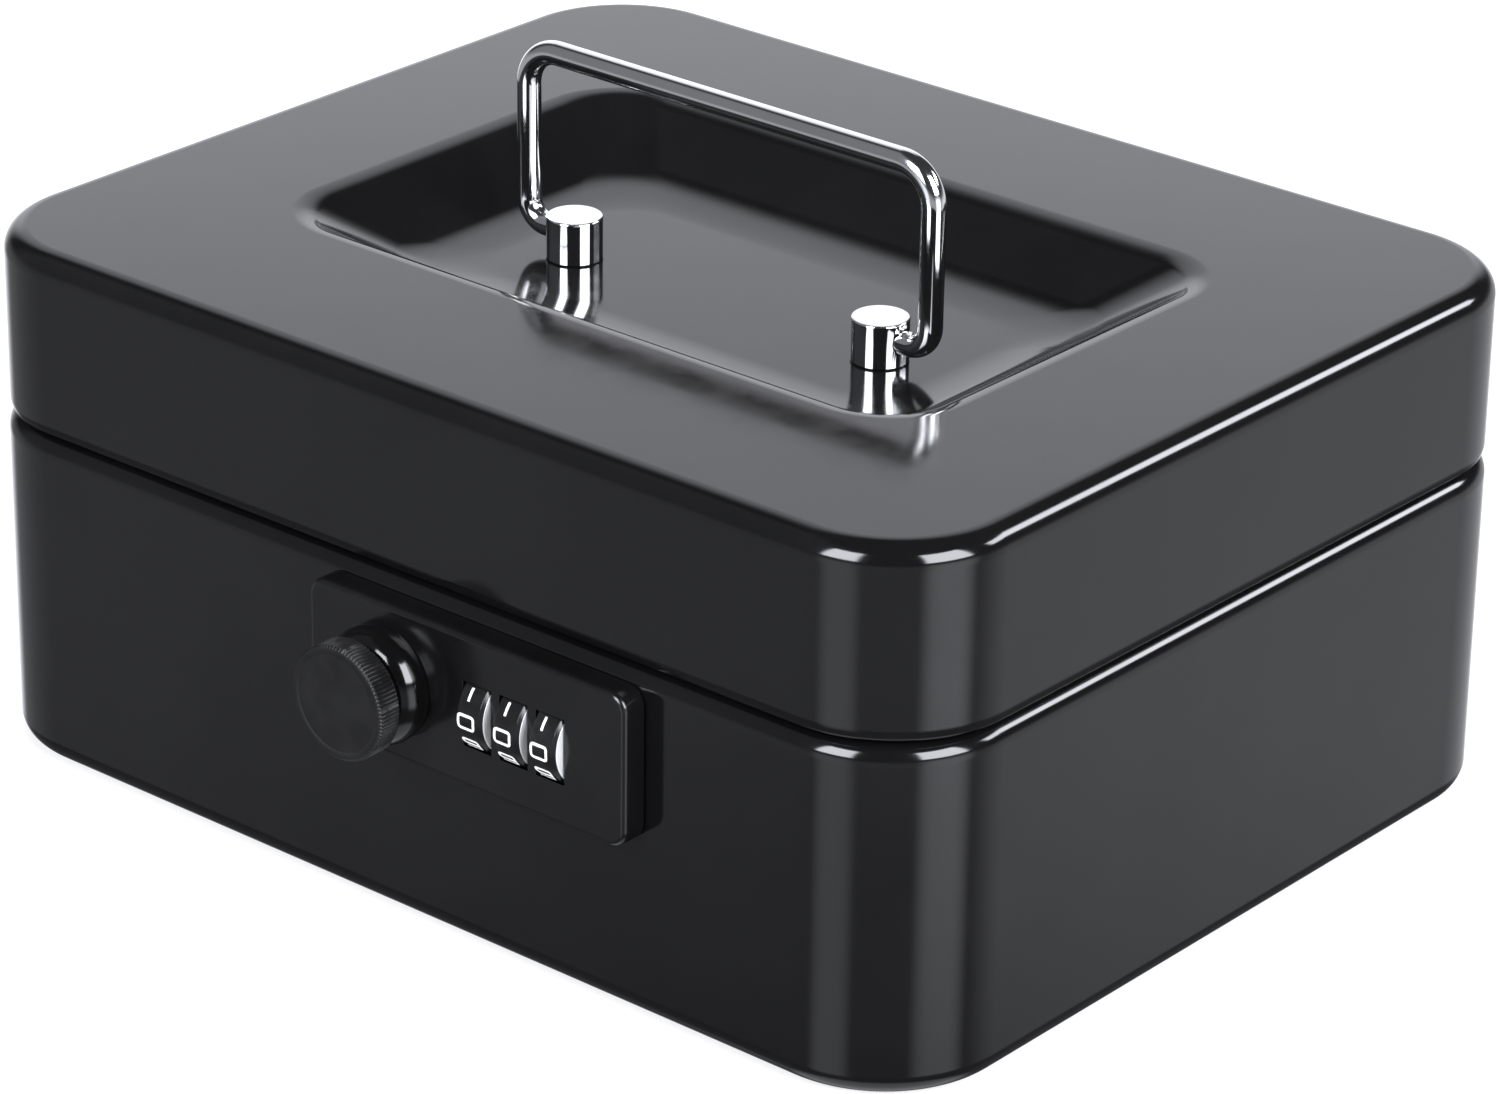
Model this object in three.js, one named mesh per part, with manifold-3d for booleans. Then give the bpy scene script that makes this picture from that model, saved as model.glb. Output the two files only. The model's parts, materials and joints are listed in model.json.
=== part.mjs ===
// Small steel cash box with a three-dial combination lock, in millimetres.
// X runs along the front, -Y is the front with the lock, +Z is up.
// The origin is the centre of the underside. The lid is closed, the lock is open,
// the dials read 0-0-0 and the carrying handle stands upright.
import * as THREE from "three";
import { mergeVertices } from "three/addons/utils/BufferGeometryUtils.js";
import Module from "manifold-3d";

const wasm = await Module();
wasm.setup();

// ---------------------------------------------------------------- driving dimensions
const LID_WIDTH = 200;
const LID_DEPTH = 161;
const BOX_HEIGHT = 90;
const CORNER_RADIUS = 21.4;
const SHEET = 1.0;
const GAP = 0.3;
const LID_EDGE_Z = 59.2;
const LID_TOP_RADIUS = 4;

const BASE_GROW = 0.25;
const BASE_EDGE_RADIUS = 4;
const SHOULDER_Z = 58.5;
const SHOULDER_RADIUS = 3.4;
const LIP_INSET = 2.6;
const LIP_TOP_Z = 64.5;

const PAN = { halfX: 66.7, halfY: 42.7, corner: 16, run: 15, floorZ: 80.2 };

const POST = { x: 32.2, y: -5.3, radius: 4.7, top: 87.65, chamfer: 0.35, stud: 2, studEndZ: 74.6 };
const POST_WASHER = { radius: 4.5, thickness: 0.6 };
const POST_NUT = { radius: 4, height: 2.5 };
const ROD_RADIUS = 2;
const BAIL = { legX: 42.15, pivotZ: 84.45, height: 30.1, topBend: 7, footBend: 4, tailInset: 1 };

const PLATE = { x: 17.5, z: 43.25, halfX: 32.5, halfZ: 12.75, corner: 3, edge: 0.9, frontY: -85.5 };
const KNOB = { x: 1.3, z: 43.2, radius: 9.45, frontY: -96.5, backY: -92.1, teeth: 60, knurl: 0.28 };
const COLLAR = { radius: 9.6, frontY: -91.5, round: 2.8, tube: 4.5, endY: -76.3 };
const SPINDLE = { radius: 2.9, endY: -72.9, stub: 1.6 };
const CRANK = { radius: 4.6, frontY: -72.6, backY: -71.2, pin: 1.2, armHalf: 2.6 };

const DIAL = { y: -80.2, z: 43, radius: 7.2, width: 5.1, pitch: 7.43, firstX: 20.25, bore: 5, chamfer: 0.5 };
const DIAL_SLOT = { radius: 7.6, width: 5.7 };
const SLEEVE_WIDTH = 4.6;
const CODE_ROD = { radius: 2, startX: 8.6, toothReach: 3.3, toothWidth: 1, toothLength: 1, toothGap: 0.45 };
const WORKS_WINDOW = { minX: 8.3, maxX: 48.8, plateHalfZ: 3.8, plateSkin: 2.1, wallClear: 0.4 };
const BRACKET = { reach: 5.15, ear: 1, frontY: -83, earHalfZ: 3.4, webFrontY: -71.9, backY: -71.1, halfZ: 6 };
const SPRING = { frontY: -72.6, backY: -72.2, overhang: 3.2, half: 1.5, rootZ: 37, waistZ: 40, tipZ: 47 };

const CASE = { minX: -12, maxX: 51, minZ: 33, maxZ: 54, frontY: -79.4, backY: -68.2 };
const CASE_SCREW = { inset: 3.2, rise: 3.4, radius: 1.2, length: 6, head: 2.3, headHeight: 1.2, slot: 0.3 };
const BAR = { frontY: -70.7, backY: -69.5, minZ: 43.5, maxZ: 51, startX: -9, armReach: 5.5, armFrontY: -82 };
const LEVER = { x: 26, z: 42, footHalf: 2.4, neckHalf: 1, buttonHalf: 2 };
const LEVER_SLOT = { x: 28, halfX: 3.6, halfZ: 1.4, corner: 1.3 };
const FINGER = { minZ: 57.8, maxZ: 60.2, tipX: 4.2, riserMinX: -7, riserMaxX: -2 };
const STRIKER = { minX: 5.5, maxX: 15.5, tongueZ: 55.5, webZ: 66, topZ: 80, flange: 4, thickness: 1.2 };

const HINGE = { x: 55, y: 83.35, z: 61, width: 30, knuckle: 2.3, pin: 1.1, leafLength: 15, heel: 4 };
const TRAY = { halfX: 89.4, minY: -62, maxY: 70, minZ: 37.3, maxZ: 62.3, corner: 14, wall: 1.6 };
const TRAY_POCKETS = { cups: 4, dividerY: 4, cupFillet: 8, noteFillet: 3 };
const LEDGE = { shelfX: 84.4, wallX: 98.95, minY: -50, maxY: 60, topZ: 37, dropZ: 28 };

// ---------------------------------------------------------------- worked-out sizes
const LID_HALF = { x: LID_WIDTH / 2, y: LID_DEPTH / 2 };
const BASE_HALF = { x: LID_HALF.x + BASE_GROW, y: LID_HALF.y + BASE_GROW };
const BASE_RADIUS = CORNER_RADIUS + BASE_GROW;
const WALL_FRONT_Y = -BASE_HALF.y;
const DIAL_XS = [0, 1, 2].map((i) => DIAL.firstX + i * DIAL.pitch);
const CRANK_SWING = CRANK.radius * Math.SQRT1_2;
const LATCH_TRAVEL = 2 * CRANK_SWING;
const PAN_SLOPE = Math.atan2(BOX_HEIGHT - PAN.floorZ, PAN.run);

// ---------------------------------------------------------------- materials
const PAINTS = {
  blackPaint: { color: 0x1b1b1d, roughness: 0.2, metalness: 0 },
  blackPlastic: { color: 0x161617, roughness: 0.45, metalness: 0 },
  grayPlastic: { color: 0x3a3b3d, roughness: 0.6, metalness: 0 },
  chrome: { color: 0xd8dadd, roughness: 0.06, metalness: 1 },
  zinc: { color: 0xa9acb0, roughness: 0.38, metalness: 1 },
  brass: { color: 0xb08d4a, roughness: 0.35, metalness: 1 },
};

// ---------------------------------------------------------------- solid helpers
const AXES = {
  x: [new THREE.Vector3(0, 1, 0), new THREE.Vector3(0, 0, 1), new THREE.Vector3(1, 0, 0)],
  y: [new THREE.Vector3(1, 0, 0), new THREE.Vector3(0, 0, 1), new THREE.Vector3(0, -1, 0)],
  z: [new THREE.Vector3(1, 0, 0), new THREE.Vector3(0, 1, 0), new THREE.Vector3(0, 0, 1)],
};

function withoutSlivers(index) {
  const kept = [];
  for (let i = 0; i < index.length; i += 3) {
    const [a, b, c] = [index[i], index[i + 1], index[i + 2]];
    if (a !== b && b !== c && c !== a) kept.push(a, b, c);
  }
  return kept;
}

function signedVolume(points, triangles) {
  const [a, b, c] = [new THREE.Vector3(), new THREE.Vector3(), new THREE.Vector3()];
  let volume = 0;
  for (let i = 0; i < triangles.length; i += 3) {
    a.fromArray(points, 3 * triangles[i]);
    b.fromArray(points, 3 * triangles[i + 1]);
    c.fromArray(points, 3 * triangles[i + 2]);
    volume += a.dot(b.cross(c)) / 6;
  }
  return volume;
}

function solidOf(geometry) {
  const bare = geometry.clone();
  bare.deleteAttribute("normal");
  bare.deleteAttribute("uv");
  const merged = mergeVertices(bare, 1e-5);
  const points = merged.attributes.position.array;
  const triangles = withoutSlivers(merged.index.array);
  if (signedVolume(points, triangles) < 0) triangles.reverse();
  const mesh = new wasm.Mesh({
    numProp: 3,
    vertProperties: new Float32Array(points),
    triVerts: new Uint32Array(triangles),
  });
  return new wasm.Manifold(mesh);
}

function geometryOf(solid) {
  const mesh = solid.getMesh();
  const geometry = new THREE.BufferGeometry();
  geometry.setAttribute("position", new THREE.BufferAttribute(new Float32Array(mesh.vertProperties), 3));
  geometry.setIndex(Array.from(mesh.triVerts));
  geometry.computeVertexNormals();
  return geometry;
}

const join = (...solids) => solids.reduce((whole, piece) => whole.add(piece));
const cut = (solid, ...tools) => tools.reduce((left, tool) => left.subtract(tool), solid);

// A flat shape swept along an axis between two places, with an optional round edge at both ends.
// Shapes for x are drawn in (y, z), for y in (x, z) and for z in (x, y).
// "curveSteps" is the number of chords in each arc; ExtrudeGeometry draws two per curve segment.
function prism(shape, axis, from, to, edge = 0, edgeSteps = 3, curveSteps = 8) {
  const low = axis === "y" ? -to : from;
  const geometry = new THREE.ExtrudeGeometry(shape, {
    depth: to - from - 2 * edge,
    bevelEnabled: edge > 0,
    bevelSize: edge,
    bevelThickness: edge,
    bevelOffset: -edge,
    bevelSegments: edgeSteps,
    curveSegments: curveSteps / 2,
  });
  geometry.translate(0, 0, low + edge);
  geometry.applyMatrix4(new THREE.Matrix4().makeBasis(...AXES[axis]));
  return solidOf(geometry);
}

function block(minX, maxX, minY, maxY, minZ, maxZ) {
  const geometry = new THREE.BoxGeometry(maxX - minX, maxY - minY, maxZ - minZ);
  geometry.translate((minX + maxX) / 2, (minY + maxY) / 2, (minZ + maxZ) / 2);
  return solidOf(geometry);
}

function roundedOutline(path, centreU, centreV, halfU, halfV, radius) {
  const [u0, u1, v0, v1] = [centreU - halfU, centreU + halfU, centreV - halfV, centreV + halfV];
  path.moveTo(u0 + radius, v0);
  path.lineTo(u1 - radius, v0);
  path.absarc(u1 - radius, v0 + radius, radius, -Math.PI / 2, 0, false);
  path.lineTo(u1, v1 - radius);
  path.absarc(u1 - radius, v1 - radius, radius, 0, Math.PI / 2, false);
  path.lineTo(u0 + radius, v1);
  path.absarc(u0 + radius, v1 - radius, radius, Math.PI / 2, Math.PI, false);
  path.lineTo(u0, v0 + radius);
  path.absarc(u0 + radius, v0 + radius, radius, Math.PI, 1.5 * Math.PI, false);
  return path;
}

const roundedShape = (...sizes) => roundedOutline(new THREE.Shape(), ...sizes);

function circleShape(u, v, radius) {
  const shape = new THREE.Shape();
  shape.absarc(u, v, radius, 0, 2 * Math.PI, false);
  return shape;
}

const cylinder = (axis, u, v, radius, from, to, steps = 24) =>
  prism(circleShape(u, v, radius), axis, from, to, 0, 1, steps);

function hexagon(axis, u, v, radius, from, to) {
  const corners = [0, 1, 2, 3, 4, 5].map((i) => {
    const angle = (i * Math.PI) / 3;
    return new THREE.Vector2(u + radius * Math.cos(angle), v + radius * Math.sin(angle));
  });
  return prism(new THREE.Shape(corners), axis, from, to);
}

// A profile of [radius, place] pairs turned about an axis line.
function turned(profile, axis, u, v, steps = 32) {
  const points = profile.map(([radius, along]) => new THREE.Vector2(radius, along));
  const geometry = new THREE.LatheGeometry(points, steps);
  if (axis === "x") geometry.rotateZ(-Math.PI / 2).translate(0, u, v);
  if (axis === "y") geometry.translate(u, 0, v);
  if (axis === "z") geometry.rotateX(Math.PI / 2).translate(u, v, 0);
  return solidOf(geometry);
}

function arcPoints(centreR, centreA, radius, fromAngle, toAngle, steps) {
  return Array.from({ length: steps + 1 }, (_, i) => {
    const angle = fromAngle + ((toAngle - fromAngle) * i) / steps;
    return [centreR + radius * Math.cos(angle), centreA + radius * Math.sin(angle)];
  });
}

// ---------------------------------------------------------------- base
function bodySlab(half, inset, radius, fromZ, toZ, edge = 0) {
  return prism(roundedShape(0, 0, half.x - inset, half.y - inset, radius - inset), "z", fromZ, toZ, edge);
}

function baseShell() {
  const midZ = BOX_HEIGHT / 3;
  const innerLip = LIP_INSET + SHEET;
  const outside = join(
    bodySlab(BASE_HALF, 0, BASE_RADIUS, 0, midZ + 10, BASE_EDGE_RADIUS),
    bodySlab(BASE_HALF, 0, BASE_RADIUS, midZ - 10, SHOULDER_Z, SHOULDER_RADIUS),
    bodySlab(BASE_HALF, LIP_INSET, BASE_RADIUS, midZ, LIP_TOP_Z),
  );
  const inside = join(
    bodySlab(BASE_HALF, SHEET, BASE_RADIUS, SHEET, midZ + 10, BASE_EDGE_RADIUS - SHEET),
    bodySlab(BASE_HALF, SHEET, BASE_RADIUS, midZ - 10, SHOULDER_Z - SHEET, SHOULDER_RADIUS - SHEET),
    bodySlab(BASE_HALF, innerLip, BASE_RADIUS, midZ, LIP_TOP_Z + 1),
  );
  const windowHalfZ = DIAL.radius + WORKS_WINDOW.wallClear;
  const dialWindow = block(
    WORKS_WINDOW.minX, WORKS_WINDOW.maxX, WALL_FRONT_Y - 1, WALL_FRONT_Y + SHEET + 1,
    DIAL.z - windowHalfZ, DIAL.z + windowHalfZ,
  );
  const bushHole = cylinder(
    "y", KNOB.x, KNOB.z, COLLAR.tube + GAP, WALL_FRONT_Y - 1, WALL_FRONT_Y + SHEET + 1,
  );
  return cut(outside, inside, dialWindow, bushHole);
}

function trayLedge(side) {
  const span = (a, b) => (side > 0 ? [a, b] : [-b, -a]);
  const shelf = block(...span(LEDGE.shelfX, LEDGE.wallX), LEDGE.minY, LEDGE.maxY, LEDGE.topZ - 1, LEDGE.topZ);
  const flange = block(
    ...span(LEDGE.wallX - 1, LEDGE.wallX), LEDGE.minY, LEDGE.maxY, LEDGE.dropZ, LEDGE.topZ,
  );
  return join(shelf, flange);
}

// ---------------------------------------------------------------- lid
// The sloping hollow that the handle folds into. Its lower half is the hollow, its upper half is clear air.
// "offset" moves every face of the hollow outwards, to give the sheet its thickness.
function panHollow(offset) {
  const widen = offset * Math.tan(PAN_SLOPE / 2);
  const outline = roundedShape(0, 0, PAN.halfX + widen, PAN.halfY + widen, PAN.corner + widen);
  const geometry = new THREE.ExtrudeGeometry(outline, {
    depth: 1 + offset,
    bevelEnabled: true,
    bevelSize: PAN.run,
    bevelOffset: -PAN.run,
    bevelThickness: BOX_HEIGHT - PAN.floorZ,
    bevelSegments: 1,
    curveSegments: 6,
  });
  return solidOf(geometry.translate(0, 0, BOX_HEIGHT - offset));
}

function lidShell() {
  const farBelow = LID_EDGE_Z - 20;
  const outside = cut(
    bodySlab(LID_HALF, 0, CORNER_RADIUS, farBelow, BOX_HEIGHT, LID_TOP_RADIUS),
    panHollow(0),
  );
  const inside = cut(
    bodySlab(LID_HALF, SHEET, CORNER_RADIUS, farBelow - 10, BOX_HEIGHT - SHEET, LID_TOP_RADIUS - SHEET),
    panHollow(SHEET),
  );
  const belowEdge = block(-LID_WIDTH, LID_WIDTH, -LID_DEPTH, LID_DEPTH, farBelow - 20, LID_EDGE_Z);
  const studHoles = [-1, 1].map((side) =>
    cylinder("z", side * POST.x, POST.y, POST.stud + GAP, PAN.floorZ - SHEET - 1, PAN.floorZ + 1));
  return cut(outside, inside, belowEdge, ...studHoles);
}

function handlePost(side) {
  const footZ = PAN.floorZ + GAP;
  const profile = [
    [0, POST.studEndZ],
    [POST.stud, POST.studEndZ],
    [POST.stud, footZ],
    [POST.radius, footZ],
    [POST.radius, POST.top - POST.chamfer],
    [POST.radius - POST.chamfer, POST.top],
    [0, POST.top],
  ];
  const body = turned(profile, "z", side * POST.x, POST.y);
  const [near, far] = [side * (POST.x + 0.5), side * (POST.x + POST.radius + 1)];
  const bore = cylinder(
    "x", POST.y, BAIL.pivotZ, ROD_RADIUS + GAP, Math.min(near, far), Math.max(near, far), 16,
  );
  return cut(body, bore);
}

const studHole = (side, fromZ, toZ) => cylinder("z", side * POST.x, POST.y, POST.stud + GAP, fromZ, toZ);

function postWasher(side) {
  const topZ = PAN.floorZ - SHEET - GAP;
  const disc = cylinder("z", side * POST.x, POST.y, POST_WASHER.radius, topZ - POST_WASHER.thickness, topZ);
  return cut(disc, studHole(side, topZ - 2, topZ + 1));
}

function postNut(side) {
  const topZ = PAN.floorZ - SHEET - 2 * GAP - POST_WASHER.thickness;
  const nut = hexagon("z", side * POST.x, POST.y, POST_NUT.radius, topZ - POST_NUT.height, topZ);
  return cut(nut, studHole(side, topZ - 4, topZ + 1));
}

function striker() {
  const flangeFrontY = -LID_HALF.y + SHEET + GAP;
  const webTopZ = STRIKER.webZ + STRIKER.thickness;
  const tongue = block(STRIKER.minX, STRIKER.maxX, BAR.frontY, BAR.backY, STRIKER.tongueZ, webTopZ);
  const web = block(STRIKER.minX, STRIKER.maxX, flangeFrontY, BAR.backY, STRIKER.webZ, webTopZ);
  const flange = block(
    STRIKER.minX - STRIKER.flange, STRIKER.maxX + STRIKER.flange,
    flangeFrontY, flangeFrontY + 1, STRIKER.webZ, STRIKER.topZ,
  );
  const lockedTipX = FINGER.tipX + LATCH_TRAVEL;
  const notch = block(
    STRIKER.minX - 1, lockedTipX + 0.6, BAR.frontY - 1, BAR.backY + 1,
    FINGER.minZ - 0.5, FINGER.maxZ + 0.5,
  );
  return cut(join(tongue, web, flange), notch);
}

// ---------------------------------------------------------------- hinges
const hingeBore = (hingeX) =>
  cylinder("x", HINGE.y, HINGE.z, HINGE.pin + GAP, hingeX - HINGE.width, hingeX + HINGE.width, 16);

function hingeLeaf(hingeX, toward) {
  const half = HINGE.width / 2;
  const innerHalf = HINGE.width / 6;
  const [frontY, backY] = [HINGE.y - HINGE.knuckle, HINGE.y - HINGE.knuckle + 1];
  const clearZ = HINGE.knuckle + GAP;
  const zSpan = (near, far) =>
    (toward > 0 ? [HINGE.z + near, HINGE.z + far] : [HINGE.z - far, HINGE.z - near]);
  const plate = block(hingeX - half, hingeX + half, frontY, backY, ...zSpan(clearZ, HINGE.leafLength));
  const tabs = toward > 0
    ? [[-innerHalf, innerHalf]]
    : [[-half, -innerHalf - GAP], [innerHalf + GAP, half]];
  const knuckles = tabs.map(([from, to]) => join(
    block(hingeX + from, hingeX + to, frontY, backY, ...zSpan(0, clearZ + 0.1)),
    cylinder("x", HINGE.y, HINGE.z, HINGE.knuckle, hingeX + from, hingeX + to, 20),
  ));
  return cut(join(plate, ...knuckles), hingeBore(hingeX));
}

// The lid's middle knuckle carries a heel that meets the base leaf and stops the open lid.
function lidHingeLeaf(hingeX) {
  const halfHeel = HINGE.width / 6 - 0.3;
  const heel = block(
    hingeX - halfHeel, hingeX + halfHeel, HINGE.y + HINGE.pin + 0.6, HINGE.y + HINGE.heel,
    HINGE.z - 0.4, HINGE.z + 0.4,
  );
  return join(hingeLeaf(hingeX, 1), heel);
}

function hingePin(hingeX) {
  const half = HINGE.width / 2;
  const pin = cylinder("x", HINGE.y, HINGE.z, HINGE.pin, hingeX - half - 1, hingeX + half + 1, 16);
  const head = cylinder("x", HINGE.y, HINGE.z, HINGE.pin + 0.8, hingeX + half + GAP, hingeX + half + 1, 16);
  return join(pin, head);
}

// ---------------------------------------------------------------- handle
class BailCurve extends THREE.CurvePath {
  constructor() {
    super();
    const topZ = BAIL.pivotZ + BAIL.height;
    const endX = POST.x + BAIL.tailInset;
    const corner = (fromX, fromZ, viaX, viaZ, toX, toZ) => new THREE.QuadraticBezierCurve3(
      new THREE.Vector3(fromX, POST.y, fromZ),
      new THREE.Vector3(viaX, POST.y, viaZ),
      new THREE.Vector3(toX, POST.y, toZ),
    );
    const straight = (fromX, fromZ, toX, toZ) => new THREE.LineCurve3(
      new THREE.Vector3(fromX, POST.y, fromZ),
      new THREE.Vector3(toX, POST.y, toZ),
    );
    const { legX, pivotZ, topBend, footBend } = BAIL;
    this.curves.push(
      straight(-endX, pivotZ, -legX + footBend, pivotZ),
      corner(-legX + footBend, pivotZ, -legX, pivotZ, -legX, pivotZ + footBend),
      straight(-legX, pivotZ + footBend, -legX, topZ - topBend),
      corner(-legX, topZ - topBend, -legX, topZ, -legX + topBend, topZ),
      straight(-legX + topBend, topZ, legX - topBend, topZ),
      corner(legX - topBend, topZ, legX, topZ, legX, topZ - topBend),
      straight(legX, topZ - topBend, legX, pivotZ + footBend),
      corner(legX, pivotZ + footBend, legX, pivotZ, legX - footBend, pivotZ),
      straight(legX - footBend, pivotZ, endX, pivotZ),
    );
  }
}

function handleBail() {
  const geometry = new THREE.ExtrudeGeometry(circleShape(0, 0, ROD_RADIUS), {
    steps: 80,
    curveSegments: 5,
    extrudePath: new BailCurve(),
  });
  return solidOf(geometry);
}

// ---------------------------------------------------------------- lock front
function lockPlate() {
  const outline = roundedShape(PLATE.x, PLATE.z, PLATE.halfX, PLATE.halfZ, PLATE.corner);
  const backY = WALL_FRONT_Y - GAP;
  const rounded = prism(outline, "y", PLATE.frontY, backY + PLATE.edge + 1, PLATE.edge, 3, 6);
  const behind = block(-LID_WIDTH, LID_WIDTH, backY, backY + LID_DEPTH, 0, BOX_HEIGHT);
  const slots = DIAL_XS.map((x) => cylinder(
    "x", DIAL.y, DIAL.z, DIAL_SLOT.radius, x - DIAL_SLOT.width / 2, x + DIAL_SLOT.width / 2, 32,
  ));
  const rodChannel = block(
    WORKS_WINDOW.minX, WORKS_WINDOW.maxX, PLATE.frontY + WORKS_WINDOW.plateSkin, backY + 1,
    DIAL.z - WORKS_WINDOW.plateHalfZ, DIAL.z + WORKS_WINDOW.plateHalfZ,
  );
  const bushHole = cylinder("y", KNOB.x, KNOB.z, COLLAR.tube + GAP, PLATE.frontY - 1, backY + 1);
  return cut(rounded, behind, ...slots, rodChannel, bushHole);
}

function knobCollar() {
  const flangeBackY = PLATE.frontY - GAP;
  const centreR = COLLAR.radius - COLLAR.round;
  const profile = [
    [SPINDLE.radius + GAP, COLLAR.frontY],
    ...arcPoints(centreR, COLLAR.frontY + COLLAR.round, COLLAR.round, -Math.PI / 2, 0, 5),
    [COLLAR.radius, flangeBackY - 0.6],
    [COLLAR.radius - 0.6, flangeBackY],
    [COLLAR.tube, flangeBackY],
    [COLLAR.tube, COLLAR.endY],
    [SPINDLE.radius + GAP, COLLAR.endY],
    [SPINDLE.radius + GAP, COLLAR.frontY],
  ];
  return turned(profile, "y", KNOB.x, KNOB.z, 40);
}

function collarNut() {
  const frontY = CASE.frontY;
  const nut = hexagon("y", KNOB.x, KNOB.z, 6.35, frontY, frontY + 2.4);
  return cut(nut, cylinder("y", KNOB.x, KNOB.z, COLLAR.tube + GAP, frontY - 1, frontY + 4));
}

function knobDisc() {
  const steps = 2 * KNOB.teeth;
  const rim = Array.from({ length: steps }, (_, i) => {
    const radius = KNOB.radius - (i % 2) * KNOB.knurl;
    const angle = (2 * Math.PI * i) / steps;
    return new THREE.Vector2(KNOB.x + radius * Math.cos(angle), KNOB.z + radius * Math.sin(angle));
  });
  const disc = prism(new THREE.Shape(rim), "y", KNOB.frontY, KNOB.backY);
  const hub = cylinder("y", KNOB.x, KNOB.z, 6.5, KNOB.backY - 1, COLLAR.frontY - GAP);
  const bore = cylinder("y", KNOB.x, KNOB.z, SPINDLE.radius + GAP, KNOB.frontY + 2, KNOB.backY + 2);
  return cut(join(disc, hub), bore);
}

function knobSpindle() {
  const frontY = KNOB.frontY + 2 + GAP;
  const stubEndY = CRANK.backY - 0.1;
  const profile = [
    [0, frontY],
    [SPINDLE.radius, frontY],
    [SPINDLE.radius, SPINDLE.endY],
    [SPINDLE.stub, SPINDLE.endY],
    [SPINDLE.stub, stubEndY],
    [0, stubEndY],
  ];
  return turned(profile, "y", KNOB.x, KNOB.z, 24);
}

function crankArm() {
  const pin = { x: KNOB.x - CRANK_SWING, z: KNOB.z + CRANK_SWING };
  const half = CRANK.armHalf;
  const outline = roundedShape(CRANK.radius / 2, 0, CRANK.radius / 2 + half, half, half);
  const arm = prism(outline, "y", CRANK.frontY, CRANK.backY)
    .rotate([0, -135, 0])
    .translate([KNOB.x, 0, KNOB.z]);
  const hole = cylinder("y", KNOB.x, KNOB.z, SPINDLE.stub + GAP, CRANK.frontY - 1, CRANK.backY + 1);
  const crankPin = cylinder("y", pin.x, pin.z, CRANK.pin, CRANK.backY - 1, BAR.backY + 0.2, 16);
  return join(cut(arm, hole), crankPin);
}

// ---------------------------------------------------------------- lock works
function lockCase() {
  const [midX, midZ] = [(CASE.minX + CASE.maxX) / 2, (CASE.minZ + CASE.maxZ) / 2];
  const [halfX, halfZ] = [(CASE.maxX - CASE.minX) / 2, (CASE.maxZ - CASE.minZ) / 2];
  const wall = roundedShape(midX, midZ, halfX, halfZ, 2);
  wall.holes.push(roundedOutline(new THREE.Path(), midX, midZ, halfX - 1, halfZ - 1, 1));
  const frame = prism(wall, "y", CASE.frontY, CASE.backY, 0, 1, 4);
  const bosses = caseScrewXs().map((x) =>
    block(x - 2.6, x + 2.6, CASE.frontY + 2, CASE.backY, CASE.minZ + 0.5, caseScrewZ() + 2.8));
  const tapped = caseScrewXs().map((x) =>
    cylinder("y", x, caseScrewZ(), CASE_SCREW.radius + GAP, CASE.backY - 8, CASE.backY + 1, 16));
  const riserSlot = block(
    FINGER.riserMinX - 0.5, FINGER.riserMaxX + LATCH_TRAVEL + 0.5, BAR.frontY - 0.5, BAR.backY + 0.5,
    CASE.maxZ - 2, CASE.maxZ + 1,
  );
  return cut(join(frame, ...bosses), riserSlot, ...tapped);
}

const caseScrewXs = () => [CASE.minX + CASE_SCREW.inset, CASE.maxX - CASE_SCREW.inset];
const caseScrewZ = () => CASE.minZ + CASE_SCREW.rise;

function leverSlot(frontY) {
  const { x, halfX, halfZ, corner } = LEVER_SLOT;
  const outline = roundedShape(x, LEVER.z, halfX, halfZ, corner);
  return prism(outline, "y", frontY - 1, frontY + 2, 0, 1, 4);
}

function lockCover() {
  const frontY = CASE.backY + GAP;
  const [midX, midZ] = [(CASE.minX + CASE.maxX) / 2, (CASE.minZ + CASE.maxZ) / 2];
  const [halfX, halfZ] = [(CASE.maxX - CASE.minX) / 2, (CASE.maxZ - CASE.minZ) / 2];
  const sheet = prism(roundedShape(midX, midZ, halfX, halfZ, 2), "y", frontY, frontY + 1, 0, 1, 4);
  const holes = caseScrewXs().map((x) =>
    cylinder("y", x, caseScrewZ(), CASE_SCREW.radius + GAP, frontY - 1, frontY + 2, 16));
  return cut(sheet, leverSlot(frontY), ...holes);
}

function coverScrew(x) {
  const headFrontY = CASE.backY + 1 + 2 * GAP;
  const headBackY = headFrontY + CASE_SCREW.headHeight;
  const profile = [
    [0, CASE.backY - CASE_SCREW.length],
    [CASE_SCREW.radius, CASE.backY - CASE_SCREW.length],
    [CASE_SCREW.radius, headFrontY],
    [CASE_SCREW.head, headFrontY],
    [CASE_SCREW.head, headBackY - 0.5],
    [CASE_SCREW.head - 0.6, headBackY],
    [0, headBackY],
  ];
  const body = turned(profile, "y", x, caseScrewZ(), 20);
  const driverSlot = block(
    x - 3, x + 3, headBackY - 0.6, headBackY + 1,
    caseScrewZ() - CASE_SCREW.slot, caseScrewZ() + CASE_SCREW.slot,
  );
  return cut(body, driverSlot);
}

function dialBracket() {
  const [leftX, rightX] = [DIAL_XS[0] - BRACKET.reach, DIAL_XS[2] + BRACKET.reach];
  const { ear, frontY, earHalfZ, webFrontY, backY, halfZ } = BRACKET;
  const web = block(leftX, rightX, webFrontY, backY, DIAL.z - halfZ, DIAL.z + halfZ);
  const ears = [leftX, rightX - ear].map((x) =>
    block(x, x + ear, frontY, backY, DIAL.z - earHalfZ, DIAL.z + earHalfZ));
  const bore = cylinder("x", DIAL.y, DIAL.z, CODE_ROD.radius + GAP, leftX - 1, rightX + 1, 20);
  return cut(join(web, ...ears), bore);
}

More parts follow.
